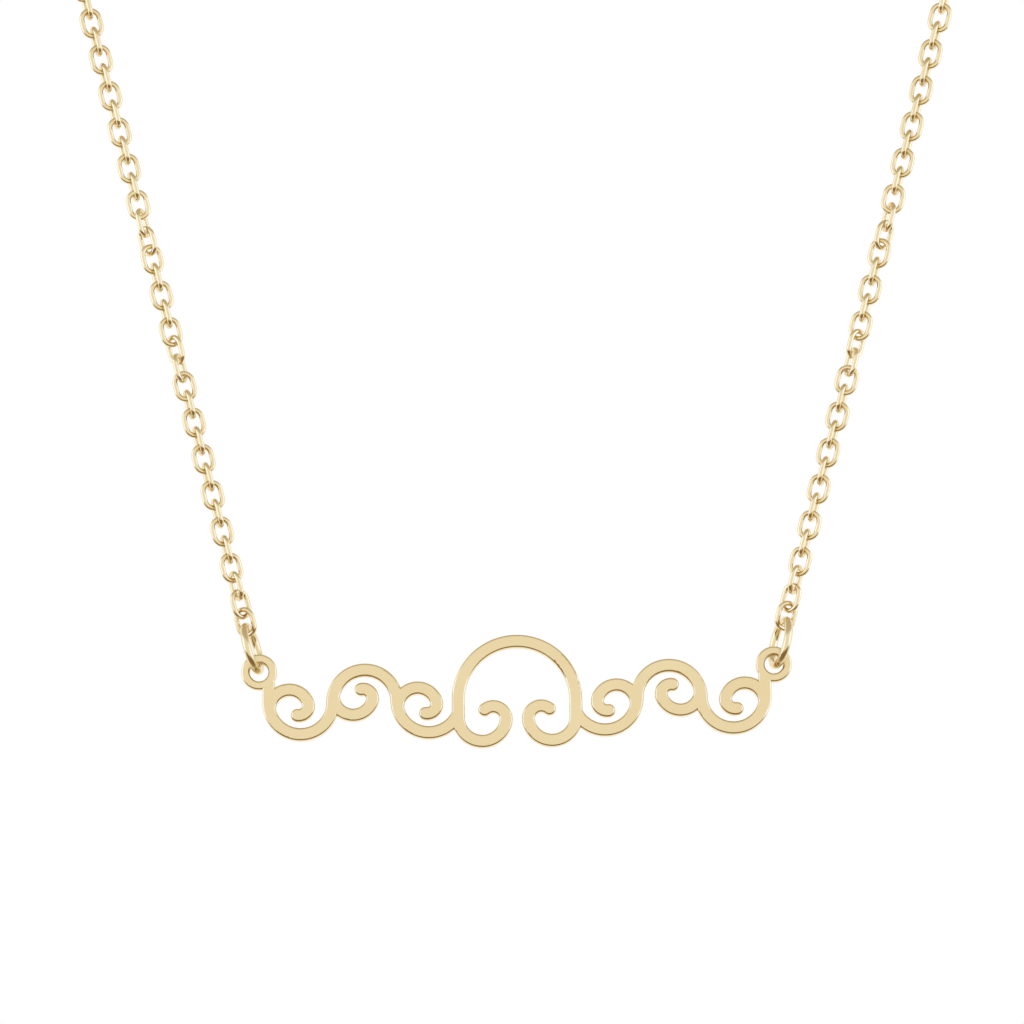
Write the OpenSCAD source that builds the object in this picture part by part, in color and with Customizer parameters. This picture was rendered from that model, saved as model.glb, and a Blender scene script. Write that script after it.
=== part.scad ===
// Nameplate necklace as it is worn: a scrollwork plate between two cable chains that meet at the nape.
// Millimetres, +Z up, the plate's front faces -Y. The origin is where the clasp rests on the nape.

/* [Nameplate] */
// Distance between the centres of the two ring holes
hole_span = 37.7; // [35:0.1:41]
// Tilt of the plate where it hangs, right side up, in degrees
plate_tilt = 0.9; // [0:0.1:1.5]
// Lean of the plate and its rings, which lie on the chest with the lower edge forward, in degrees
plate_lean = 10; // [0:1:12]
// Bore of a ring hole
hole_d = 1.36; // [1.34:0.01:1.6]
// Width of the metal round a ring hole
hole_wall = 0.64; // [0.5:0.01:0.7]
// Width of the strokes
stroke_w = 0.95; // [0.85:0.01:1.05]
// Thickness from front to back
plate_t = 0.95; // [0.8:0.05:1.2]
// Rounding of the front and back edges
edge_r = 0.18; // [0.1:0.01:0.2]

/* [Scrollwork] */
// Radius of the arch in the middle, to the middle of its stroke
arch_r = 4.3; // [4:0.1:4.5]
// How far the scroll's middle line, and with it the arch's feet, lies below the holes
scroll_drop = 2.3; // [2:0.1:2.6]
// Length of the straight neck between an arch's foot and its horn
horn_neck = 1.3; // [1.2:0.1:1.8]
// Radius of a horn under the arch, to the middle of its stroke
horn_r = 1.75; // [1.6:0.05:1.8]

/* [Jump rings] */
// Outer diameter of a jump ring
jump_d = 4; // [3.6:0.1:4.4]
// Wire of a jump ring
jump_wire = 0.6; // [0.55:0.01:0.62]
// Gap between a jump ring and the hole that it hangs through
jump_gap = 0.22; // [0.2:0.01:0.26]
// Gap between the top of a jump ring and the end of its link
ring_gap = 0.14; // [0.14:0.01:0.3]

/* [Chain] */
// Outer length of a link
link_l = 2.29; // [2.25:0.01:2.4]
// Outer width of a link
link_w = 1.68; // [1.66:0.01:1.78]
// Wire of a link
link_wire = 0.38; // [0.34:0.01:0.4]
// Clear gap between two links that meet, and between the last link and the clasp's eye
link_gap = 0.15; // [0.14:0.01:0.18]

/* [Drape] */
// Lean of the two front runs away from upright, in degrees
drape_angle = 14.4; // [10:0.2:18]
// Length of the straight front run on each side
front_run = 48.5; // [44:0.5:54]
// Distance from the nape forward to the plate
neck_depth = 84; // [80:1:90]
// Distance from the nape down to the plate
neck_drop = 86; // [82:1:92]

/* [Clasp] */
// Diameter of the barrel
barrel_d = 3; // [2.6:0.1:3.6]
// Length of the barrel
barrel_l = 7.5; // [6:0.5:10]
// Rounding of the barrel's rims
barrel_round = 0.6; // [0.3:0.1:1]
// Outer diameter of the eye at each end
eye_d = 2.4; // [2.2:0.1:2.8]
// Wire of an eye
eye_wire = 0.5; // [0.4:0.05:0.55]

/* [Hidden] */
$fn = 32;
gold = [0.82, 0.68, 0.4];

LEFT = -1;
RIGHT = 1;

// Columns of a stroke's rows: the radius of an arc or the length of a straight, and the arc's turn,
// which is positive to the left and 0 for a straight
SIZE = 0;
TURN = 1;

// The curl of a horn, in shares of horn_r
horn_rows = [[1, -170], [0.54, -140]];
// Bays of a vine between the arch and a hole, an odd number so that the last one rises to its hole
bays = 3;
// The angle at which a vine leaves the horn's neck
vine_lean = 24;
// A tendril that turns left, in shares of the bay's radius, and where and at what angle it leaves
tendril_rows = [[0.62, 160], [0.3, 120]];
tendril_back = 12;
tendril_lean = 12;

half_w = stroke_w / 2;
// By how much a fuller piece of a stroke exceeds its slimmer neighbours, and how far these lap into it
hair = 0.003;
joint_lap = 0.03;
hole_r = hole_d / 2;
disc_r = hole_r + hole_wall;
function hole_at(side) = side * hole_span / 2 * [cos(plate_tilt), sin(plate_tilt)];

// Left and right: the jump rings' lean from upright, their turn from facing the front, and the
// direction, outwards and up, in which each one sits off its hole's centre
jump_lean = [15.2, 12];
jump_turn = [79, 75];
seat_direction = [60, -10];
jump_r = (jump_d - jump_wire) / 2;

// Turns of facing and crossing links about the chain
facing_turn = -16;
crossing_turn = 74;
// The chain's twist on top of that: links from the jump ring, and the twist there in degrees
twist_rows = [[0, -50], [1, -25], [2, -12], [4, 0], [12.5, 0], [16.2, 90], [19.7, 90], [23.4, 0]];
link_pitch = link_l - 2 * link_wire - link_gap;

// Reach of the chain's curve from its front run and from the nape, and its number of steps
shoulder_reach = 26;
nape_reach = 56;
route_steps = 72;

// How far the clasp's eyes reach into its barrel
eye_lap = 0.1;

function unit(v) = v / norm(v);
function which(side) = side == LEFT ? 0 : 1;
function sized(rows, by) = [for (row = rows) [row[SIZE] * by, row[TURN]]];

// A pen is [x, y, heading]
function arc_centre(pen, row) =
    [pen.x, pen.y] + sign(row[TURN]) * row[SIZE] * [-sin(pen.z), cos(pen.z)];
function pen_after(pen, row) =
    row[TURN] == 0
        ? pen + row[SIZE] * [cos(pen.z), sin(pen.z), 0]
        : let (heading = pen.z + row[TURN],
               end = arc_centre(pen, row) + sign(row[TURN]) * row[SIZE] * [sin(heading), -cos(heading)])
          [end.x, end.y, heading];
function pens(pen, rows, i = 0) =
    i == len(rows) ? [pen] : concat([pen], pens(pen_after(pen, rows[i]), rows, i + 1));
function fullness(i) = i % 2 == 0 ? 0 : hair;
function on_circle(centre, r, angle) = centre + r * [cos(angle), sin(angle)];

// Half of a rounded bar's section, from its middle line out to reach
module half_section(reach, height, round) {
    translate([0, -height / 2]) square([reach - round, height]);
    translate([0, round - height / 2]) square([reach, height - 2 * round]);
    for (y = [-1, 1]) translate([reach - round, y * (height / 2 - round)]) circle(r = round);
}

module stroke_section(grow) {
    for (side = [0, 1]) mirror([side, 0]) half_section(half_w + grow, plate_t + 2 * grow, edge_r + grow);
}

// A disc, or a part of one, with rounded rims
module button(r, height, round, angle = 360) {
    rotate_extrude(angle = angle) half_section(r, height, round);
}

module straight(pen, length, grow, lap) {
    translate([pen.x, pen.y, 0]) rotate([0, 0, pen.z]) translate([-lap, 0, 0]) rotate([90, 0, 90])
        linear_extrude(length + 2 * lap) stroke_section(grow);
}

module bend(pen, row, grow, lap) {
    more = lap / row[SIZE] * 180 / PI;
    first = row[TURN] > 0 ? pen.z - 90 : pen.z + 90 + row[TURN];
    translate(arc_centre(pen, row)) rotate([0, 0, first - more])
        rotate_extrude(angle = abs(row[TURN]) + 2 * more) translate([row[SIZE], 0]) stroke_section(grow);
}

module round_end(pen, heading, grow) {
    translate([pen.x, pen.y, 0]) rotate([0, 0, heading - 90])
        button(half_w + grow, plate_t + 2 * grow, edge_r + grow, grow > 0 ? 180 : 360);
}

// A stroke drawn by a pen along its rows, round at its end. Every other piece is a hair fuller, and
// its slimmer neighbours lap into it, so that no two share a surface.
module stroke(pen, rows) {
    steps = pens(pen, rows);
    last = len(rows) - 1;
    for (i = [0 : last]) {
        lap = i % 2 == 0 ? joint_lap : 0;
        if (rows[i][TURN] == 0) straight(steps[i], rows[i][SIZE], fullness(i), lap);
        else bend(steps[i], rows[i], fullness(i), lap);
    }
    round_end(steps[last + 1], steps[last + 1].z, fullness(last + 1));
}

// The bore of a ring hole, flared where the plate's edges are rounded
module flared_bore() {
    rotate_extrude() difference() {
        translate([0, -plate_t]) square([hole_r + edge_r, 2 * plate_t]);
        translate([hole_r, edge_r - plate_t / 2]) square([2 * edge_r, plate_t - 2 * edge_r]);
        for (y = [-1, 1]) translate([hole_r + edge_r, y * (plate_t / 2 - edge_r)]) circle(r = edge_r);
    }
}

// From each foot of the arch a horn hangs, and a vine of half rings swings down and up to the hole
foot = [arch_r, -scroll_drop, -90];
riser_x = hole_span / 2 - hole_r;
bay_r = (riser_x - arch_r) / (2 * bays - 1 + cos(vine_lean));
function bay_side(i) = i % 2 == 0 ? 1 : -1;
vine_rows = [for (i = [0 : bays - 1]) [bay_r, bay_side(i) * (i == 0 ? 180 - vine_lean : 180)]];
vine_pens = pens(foot + [0, -bay_r * sin(vine_lean), vine_lean], vine_rows);

// The tendril that curls into a bay from near its end
module tendril(i) {
    side = bay_side(i);
    leave = pen_after(vine_pens[i], vine_rows[i] - [0, side * tendril_back]);
    stroke(leave + [0, 0, side * tendril_lean],
        [for (row = tendril_rows) [bay_r * row[SIZE], side * row[TURN]]]);
}

module half_scroll() {
    stroke(foot, concat([[horn_neck, 0]], sized(horn_rows, horn_r)));
    stroke(vine_pens[0], concat(vine_rows, [[scroll_drop, 0]]));
    for (i = [0 : bays - 1]) tendril(i);
    translate([hole_span / 2, 0]) button(disc_r, plate_t, edge_r);
}

module nameplate() {
    color(gold) leant() translate([0, -neck_depth, -neck_drop]) rotate([90, 0, 0]) rotate([0, 0, plate_tilt])
        difference() {
            union() {
                bend([-arch_r, -scroll_drop, 90], [arch_r, -180], hair, 0);
                for (side = [0, 1]) mirror([side, 0]) half_scroll();
            }
            for (side = [0, 1]) mirror([side, 0]) translate([hole_span / 2, 0]) flared_bore();
        }
}

// The plate's flat plan stood up where it hangs
function stood(p) = [p.x, -neck_depth, p.y - neck_drop];
function leaning(side, angle) = [side * sin(angle), 0, cos(angle)];

function jump_along(side) = leaning(side, jump_lean[which(side)]);
function jump_centre(side) =
    let (direction = seat_direction[which(side)])
    stood(on_circle(hole_at(side), hole_r - jump_wire / 2 - jump_gap,
        side == RIGHT ? direction : 180 - direction)) + jump_r * jump_along(side);

// Leans the plate or a ring about the line through the rings' tops
function jump_top(side) = jump_centre(side) + jump_r * jump_along(side);
module leant() {
    translate(jump_top(LEFT)) rotate(a = -plate_lean, v = jump_top(RIGHT) - jump_top(LEFT))
        translate(-jump_top(LEFT)) children();
}

// Stands a link or ring: its Y axis along the chain, its X axis turned from sideways towards outward
function pose(at, along, outward, turn) =
    let (out = unit(outward - (outward * along) * along),
         across = cross(along, out),
         wide = cos(turn) * across + sin(turn) * out,
         flat = cross(wide, along))
    [[wide.x, along.x, flat.x, at.x],
     [wide.y, along.y, flat.y, at.y],
     [wide.z, along.z, flat.z, at.z],
     [0, 0, 0, 1]];

module ring(d, wire) {
    rotate_extrude() translate([(d - wire) / 2, 0]) circle(d = wire);
}

module jump_ring(side) {
    color(gold) leant()
        multmatrix(pose(jump_centre(side), jump_along(side), [0, -1, 0], side * jump_turn[which(side)]))
        ring(jump_d, jump_wire);
}

// An oval link of two half rings and two straight sides, long along Y
link_half_w = (link_w - link_wire) / 2;
link_half_l = (link_l - link_wire) / 2;
link_side = 2 * (link_half_l - link_half_w);

module link() {
    for (end = [0, 180]) rotate([0, 0, end]) {
        translate([0, link_side / 2, 0])
            rotate_extrude(angle = 180) translate([link_half_w, 0]) circle(d = link_wire);
        translate([link_half_w, -link_side / 2, 0]) rotate([-90, 0, 0])
            cylinder(d = link_wire, h = link_side);
    }
}

// The chain's route is a straight front run and one curve round the neck to the nape
eye_r = (eye_d - eye_wire) / 2;
eye_x = barrel_l / 2 + eye_r - eye_lap;
meet = link_wire / 2 + link_gap;
function front_along(side) = leaning(side, drape_angle);
function first_link(side) =
    jump_top(side) + (link_half_l - (link_wire + jump_wire) / 2 - ring_gap) * front_along(side);
function last_link(side) = [side * (eye_x + eye_r - meet - eye_wire / 2 + link_half_l), barrel_d / 2, 0];
function curve(a, b, c, d, t) =
    pow(1 - t, 3) * a + 3 * pow(1 - t, 2) * t * b + 3 * (1 - t) * t * t * c + pow(t, 3) * d;
function route(side) =
    let (first = first_link(side), turn = first + front_run * front_along(side), last = last_link(side))
    concat([first], [for (i = [0 : route_steps])
        curve(turn, turn + shoulder_reach * front_along(side),
            last + [side * nape_reach, 0, 0], last, i / route_steps)]);
function running(p) =
    [for (i = 0, s = 0; i < len(p); s = s + (i + 1 < len(p) ? norm(p[i + 1] - p[i]) : 0), i = i + 1) s];
function at_run(p, run, s) =
    [for (axis = [0 : 2]) lookup(s, [for (i = [0 : len(p) - 1]) [run[i], p[i][axis]]])];

// Outward from the neck: forwards on the front run, backwards at the nape
function outward_at(side, s, total) =
    let (a = 180 * max(0, (s - front_run) / (total - front_run)))
    [side * sin(a), -cos(a), 0];
function link_turn(i) = (i % 2 == 0 ? crossing_turn : facing_turn) + lookup(i, twist_rows);

// Poses of one side's links, from the jump ring to the nape
function link_poses(side) =
    let (p = route(side), run = running(p), total = run[len(run) - 1],
         count = ceil(total / link_pitch), step = total / count)
    [for (i = [0 : count])
        let (s = i * step,
             along = unit(at_run(p, run, s + step / 4) - at_run(p, run, s - step / 4)))
        pose(at_run(p, run, s), along, outward_at(side, s, total), -side * link_turn(i))];

module chain(side) {
    color(gold) for (m = link_poses(side)) multmatrix(m) link();
}

// A plain barrel whose eyes stand square to the last links
module clasp() {
    color(gold) {
        translate([0, barrel_d / 2, 0]) rotate([0, 90, 0]) button(barrel_d / 2, barrel_l, barrel_round);
        for (side = [LEFT, RIGHT])
            multmatrix(pose([side * eye_x, barrel_d / 2, 0], [-side, 0, 0], [0, 1, 0],
                90 - side * link_turn(len(link_poses(side)) - 1)))
            ring(eye_d, eye_wire);
    }
}

nameplate();
jump_ring(LEFT);  // jump_ring_left
jump_ring(RIGHT);  // jump_ring_right
chain(LEFT);  // chain_left
chain(RIGHT);  // chain_right
clasp();
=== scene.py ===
"""Looks of a gold nameplate necklace: its metal finishes, its pale studio and its camera."""

import logging
import math
from dataclasses import dataclass, field
from enum import Enum

import bpy
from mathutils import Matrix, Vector


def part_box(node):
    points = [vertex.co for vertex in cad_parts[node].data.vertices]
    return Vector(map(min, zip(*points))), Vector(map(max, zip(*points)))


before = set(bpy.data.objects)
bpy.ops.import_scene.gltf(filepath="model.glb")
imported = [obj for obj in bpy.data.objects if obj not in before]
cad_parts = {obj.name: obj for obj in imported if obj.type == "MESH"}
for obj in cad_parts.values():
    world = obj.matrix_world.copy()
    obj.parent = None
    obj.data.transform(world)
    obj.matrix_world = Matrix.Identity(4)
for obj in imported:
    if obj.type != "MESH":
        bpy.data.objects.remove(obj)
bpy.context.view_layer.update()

LOG = logging.getLogger("necklace")
MM = 0.001

# Midway between the plate's ring holes, as far forward of the nape and below it as the source has them
HOLES = Vector((0.0, -84 * MM, -86 * MM))

Colour = tuple[float, float, float]


class Grain(Enum):
    """How a finish's fine marks run."""

    POLISHED = "polished"
    DRAWN = "drawn"


@dataclass(frozen=True)
class GoldFinish:
    """A gold plated surface: its colour, its gloss and the marks that polishing leaves.

    Attributes:
        name: Name of the material.
        colour: Linear colour of the metal where the clouds are low.
        deep: Linear colour where the plating is a little thicker.
        roughness: Lowest and highest roughness over the surface.
        cloud: Size of the slow changes in colour and gloss, in metres.
        mark: Size of the fine marks, in metres.
        mark_depth: Depth of the fine marks, in metres.
        grain: How the fine marks run.
        cloud_layers: Number of finer layers in the clouds.
        mark_layers: Number of finer layers in the marks.
        gloss_range: Heights of the clouds between which the roughness changes.
        colour_range: Heights of the clouds between which the colour changes.
        drawn_scale: Scale of drawn marks up the row frame, where 1 leaves them even.
    """

    name: str
    colour: Colour
    deep: Colour
    roughness: tuple[float, float]
    cloud: float
    mark: float
    mark_depth: float
    grain: Grain = Grain.POLISHED
    cloud_layers: float = 3.0
    mark_layers: float = 2.0
    gloss_range: tuple[float, float] = (0.3, 0.7)
    colour_range: tuple[float, float] = (0.35, 0.65)
    drawn_scale: float = 0.25

    def material(self) -> bpy.types.Material:
        """Builds the finish as a material.

        Returns:
            The new material.
        """
        material = bpy.data.materials.new(self.name)
        material.use_nodes = True
        tree = material.node_tree
        shader = tree.nodes["Principled BSDF"]
        shader.inputs["Metallic"].default_value = 1.0
        place = tree.nodes.new("ShaderNodeTexCoord")
        cloud = self._noise(tree, place, self.cloud, self.cloud_layers)
        self._tint(tree, cloud, shader.inputs["Base Color"])
        gloss = tree.nodes.new("ShaderNodeMapRange")
        gloss.inputs["From Min"].default_value = self.gloss_range[0]
        gloss.inputs["From Max"].default_value = self.gloss_range[1]
        gloss.inputs["To Min"].default_value = self.roughness[0]
        gloss.inputs["To Max"].default_value = self.roughness[1]
        tree.links.new(cloud.outputs["Fac"], gloss.inputs["Value"])
        tree.links.new(gloss.outputs["Result"], shader.inputs["Roughness"])
        marks = self._noise(tree, place, self.mark, self.mark_layers)
        bump = tree.nodes.new("ShaderNodeBump")
        bump.inputs["Distance"].default_value = self.mark_depth
        tree.links.new(marks.outputs["Fac"], bump.inputs["Height"])
        tree.links.new(bump.outputs["Normal"], shader.inputs["Normal"])
        return material

    def _noise(
        self, tree: bpy.types.NodeTree, place: bpy.types.Node, size: float, layers: float
    ) -> bpy.types.Node:
        """Adds a noise texture in the row frame.

        Args:
            tree: The material's nodes.
            place: The node that gives the coordinates.
            size: Size of a wave, in metres.
            layers: Number of finer layers.

        Returns:
            The noise node.
        """
        noise = tree.nodes.new("ShaderNodeTexNoise")
        noise.inputs["Scale"].default_value = 1.0 / size
        noise.inputs["Detail"].default_value = layers
        stretch = tree.nodes.new("ShaderNodeMapping")
        upwards = self.drawn_scale if self.grain is Grain.DRAWN else 1.0
        stretch.inputs["Scale"].default_value = (1.0, 1.0, upwards)
        tree.links.new(place.outputs["Object"], stretch.inputs["Vector"])
        tree.links.new(stretch.outputs["Vector"], noise.inputs["Vector"])
        return noise

    def _tint(
        self, tree: bpy.types.NodeTree, cloud: bpy.types.Node, target: bpy.types.NodeSocket
    ) -> None:
        """Runs the colour to its deeper tone with the clouds.

        Args:
            tree: The material's nodes.
            cloud: The clouds' noise node.
            target: The socket that takes the colour.
        """
        ramp = tree.nodes.new("ShaderNodeValToRGB")
        for stop, height, tone in zip(ramp.color_ramp.elements, self.colour_range, (self.colour, self.deep)):
            stop.position = height
            stop.color = (*tone, 1.0)
        tree.links.new(cloud.outputs["Fac"], ramp.inputs["Fac"])
        tree.links.new(ramp.outputs["Color"], target)


PLATE_GOLD = GoldFinish(
    name="plate_gold",
    colour=(0.83, 0.685, 0.405),
    deep=(0.81, 0.66, 0.375),
    roughness=(0.16, 0.2),
    cloud=6 * MM,
    mark=0.5 * MM,
    mark_depth=0.0006 * MM,
)
WIRE_GOLD = GoldFinish(
    name="wire_gold",
    colour=(0.85, 0.705, 0.42),
    deep=(0.81, 0.66, 0.375),
    roughness=(0.15, 0.2),
    cloud=3 * MM,
    mark=0.3 * MM,
    mark_depth=0.0008 * MM,
    grain=Grain.DRAWN,
)


@dataclass
class MetalPart:
    """One or more CAD nodes that share a gold finish.

    Attributes:
        title: What the part is, for the log.
        nodes: Names of its CAD nodes.
        finish: Its gold finish.
    """

    title: str
    nodes: list[str]
    finish: GoldFinish

    def dress(self) -> None:
        """Gives the nodes their finish and reports them."""
        material = self.finish.material()
        for name in self.nodes:
            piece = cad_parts[name]
            piece.data.materials.clear()
            piece.data.materials.append(material)
            low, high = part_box(name)
            size = ", ".join(f"{(end - start) / MM:.1f}" for start, end in zip(low, high))
            LOG.info("%s: %s, %s mm, %s", self.title, name, size, self.finish.name)


@dataclass
class Card:
    """A flat panel beside the necklace that only shows in its metal.

    Attributes:
        name: Name of the panel.
        centre: Its middle, from the middle of the ring holes, in metres.
        size: Its width and depth, in metres.
        facing: The direction that it shines in.
        glow: Its linear colour, where the white surround is 1.
        fade: Share of its half width over which its rim fades out.
    """

    name: str
    centre: tuple[float, float, float]
    size: tuple[float, float]
    facing: tuple[float, float, float]
    glow: Colour
    fade: float = 0.5

    def build(self) -> None:
        """Makes the panel."""
        half_w, half_d = self.size[0] / 2, self.size[1] / 2
        corners = [(-half_w, -half_d, 0), (half_w, -half_d, 0), (half_w, half_d, 0), (-half_w, half_d, 0)]
        mesh = bpy.data.meshes.new(self.name)
        mesh.from_pydata(corners, [], [tuple(range(len(corners)))])
        panel = bpy.data.objects.new(self.name, mesh)
        bpy.context.scene.collection.objects.link(panel)
        panel.location = HOLES + Vector(self.centre)
        panel.rotation_mode = "QUATERNION"
        panel.rotation_quaternion = Vector(self.facing).to_track_quat("Z", "Y")
        mesh.materials.append(self._material())
        panel.visible_camera = False
        panel.visible_shadow = False
        panel.visible_diffuse = False

    def _material(self) -> bpy.types.Material:
        """Builds the panel's glow, which fades out towards its rim.

        Returns:
            The new material.
        """
        material = bpy.data.materials.new(self.name)
        material.use_nodes = True
        tree = material.node_tree
        tree.nodes.clear()
        place = tree.nodes.new("ShaderNodeTexCoord")
        scale = tree.nodes.new("ShaderNodeMapping")
        scale.inputs["Scale"].default_value = (2 / self.size[0], 2 / self.size[1], 1.0)
        round_fall = tree.nodes.new("ShaderNodeTexGradient")
        round_fall.gradient_type = "SPHERICAL"
        edge = tree.nodes.new("ShaderNodeMapRange")
        edge.interpolation_type = "SMOOTHSTEP"
        edge.inputs["From Max"].default_value = self.fade
        clear = tree.nodes.new("ShaderNodeBsdfTransparent")
        glow = tree.nodes.new("ShaderNodeEmission")
        glow.inputs["Color"].default_value = (*self.glow, 1.0)
        mix = tree.nodes.new("ShaderNodeMixShader")
        output = tree.nodes.new("ShaderNodeOutputMaterial")
        tree.links.new(place.outputs["Object"], scale.inputs["Vector"])
        tree.links.new(scale.outputs["Vector"], round_fall.inputs["Vector"])
        tree.links.new(round_fall.outputs["Fac"], edge.inputs["Value"])
        tree.links.new(edge.outputs["Result"], mix.inputs["Fac"])
        tree.links.new(clear.outputs["BSDF"], mix.inputs[1])
        tree.links.new(glow.outputs["Emission"], mix.inputs[2])
        tree.links.new(mix.outputs["Shader"], output.inputs["Surface"])
        return material


def studio_cards() -> list[Card]:
    """Lists the panels: a warm one below, a dim one above and a cool bright one at each side.

    Returns:
        The panels.
    """
    above_and_below = [
        Card(
            name="card_below",
            centre=(0, -70 * MM, -55 * MM),
            size=(600 * MM, 180 * MM),
            facing=(0, 0, 1),
            glow=(0.28, 0.18, 0.07),
        ),
        Card(
            name="card_above",
            centre=(0, 20 * MM, 160 * MM),
            size=(600 * MM, 400 * MM),
            facing=(0, 0, -1),
            glow=(0.6, 0.55, 0.46),
        ),
    ]
    sides = [
        Card(
            name=name,
            centre=(side * 220 * MM, -80 * MM, 30 * MM),
            size=(300 * MM, 400 * MM),
            facing=(-side, 0, 0),
            glow=(1.3, 1.55, 2.3),
        )
        for name, side in (("panel_left", -1), ("panel_right", 1))
    ]
    return above_and_below + sides


@dataclass
class Studio:
    """The pale studio: a white surround, a pale floor and the panels that shape the gold.

    Attributes:
        surround: Brightness of the white surround.
        floor_drop: How far the floor lies under the ring holes, in metres.
        floor_radius: Radius of the floor, in metres.
        floor_sides: Number of the floor's edges.
        floor_colour: Linear colour of the floor.
        floor_roughness: Roughness of the floor.
        floor_glow: Light that the floor gives off, where the white surround is 1.
        cards: The panels.
    """

    surround: float = 1.0
    floor_drop: float = 60 * MM
    floor_radius: float = 300 * MM
    floor_sides: int = 96
    floor_colour: Colour = (0.93, 0.93, 0.92)
    floor_roughness: float = 0.8
    floor_glow: float = 0.12
    cards: list[Card] = field(default_factory=studio_cards)

    def build(self) -> None:
        """Makes the surround, the floor and the panels."""
        self._surround()
        self._floor()
        for card in self.cards:
            card.build()
            LOG.info("studio: %s", card.name)

    def _surround(self) -> None:
        """Makes the even white surround and plain colours for the view."""
        world = bpy.data.worlds.new("white_surround")
        world.use_nodes = True
        sky = world.node_tree.nodes["Background"]
        sky.inputs["Color"].default_value = (1.0, 1.0, 1.0, 1.0)
        sky.inputs["Strength"].default_value = self.surround
        bpy.context.scene.world = world
        bpy.context.scene.view_settings.view_transform = "Standard"

    def _floor(self) -> None:
        """Makes the pale round floor."""
        turns = [2 * math.pi * side / self.floor_sides for side in range(self.floor_sides)]
        rim = [(self.floor_radius * math.cos(turn), self.floor_radius * math.sin(turn), 0) for turn in turns]
        mesh = bpy.data.meshes.new("floor")
        mesh.from_pydata(rim, [], [tuple(range(self.floor_sides))])
        floor = bpy.data.objects.new("floor", mesh)
        bpy.context.scene.collection.objects.link(floor)
        floor.location = HOLES - Vector((0, 0, self.floor_drop))
        material = bpy.data.materials.new("pale_floor")
        material.use_nodes = True
        shader = material.node_tree.nodes["Principled BSDF"]
        shader.inputs["Base Color"].default_value = (*self.floor_colour, 1.0)
        shader.inputs["Roughness"].default_value = self.floor_roughness
        shader.inputs["Emission Color"].default_value = (1.0, 1.0, 1.0, 1.0)
        shader.inputs["Emission Strength"].default_value = self.floor_glow
        mesh.materials.append(material)


@dataclass
class PhotoCamera:
    """The camera, level in front of the plate as in the photograph.

    Attributes:
        lens: Focal length, in millimetres.
        sensor: Width of the sensor, in millimetres.
        near: Nearest distance that it shows, in metres.
        view_width: Width that the picture shows at the plate, in metres.
        aside: How far the picture's middle lies to the right of the middle of the ring holes, in metres.
        above: How far it lies above them, in metres.
    """

    lens: float = 180.0
    sensor: float = 36.0
    near: float = 10 * MM
    view_width: float = 75.16 * MM
    aside: float = -0.33 * MM
    above: float = 11.54 * MM

    def build(self) -> None:
        """Makes the camera and sets it as the scene's."""
        lens = bpy.data.cameras.new("camera")
        lens.lens = self.lens
        lens.sensor_width = self.sensor
        lens.clip_start = self.near
        camera = bpy.data.objects.new("camera", lens)
        bpy.context.scene.collection.objects.link(camera)
        distance = self.lens / self.sensor * self.view_width
        camera.location = HOLES + Vector((self.aside, -distance, self.above))
        camera.rotation_euler = (math.pi / 2, 0, 0)
        bpy.context.scene.camera = camera
        LOG.info("camera: %.0f mm in front of the plate", distance / MM)


def main() -> None:
    """Dresses the necklace piece by piece, then builds the studio and the camera."""
    logging.basicConfig(level=logging.INFO, format="%(name)s: %(message)s")
    parts = [
        MetalPart("nameplate", ["nameplate"], PLATE_GOLD),
        MetalPart("jump rings", ["jump_ring_left", "jump_ring_right"], WIRE_GOLD),
        MetalPart("chain", ["chain_left", "chain_right"], WIRE_GOLD),
        MetalPart("clasp", ["clasp"], PLATE_GOLD),
    ]
    for part in parts:
        part.dress()
    Studio().build()
    PhotoCamera().build()


if __name__ == "__main__":
    main()
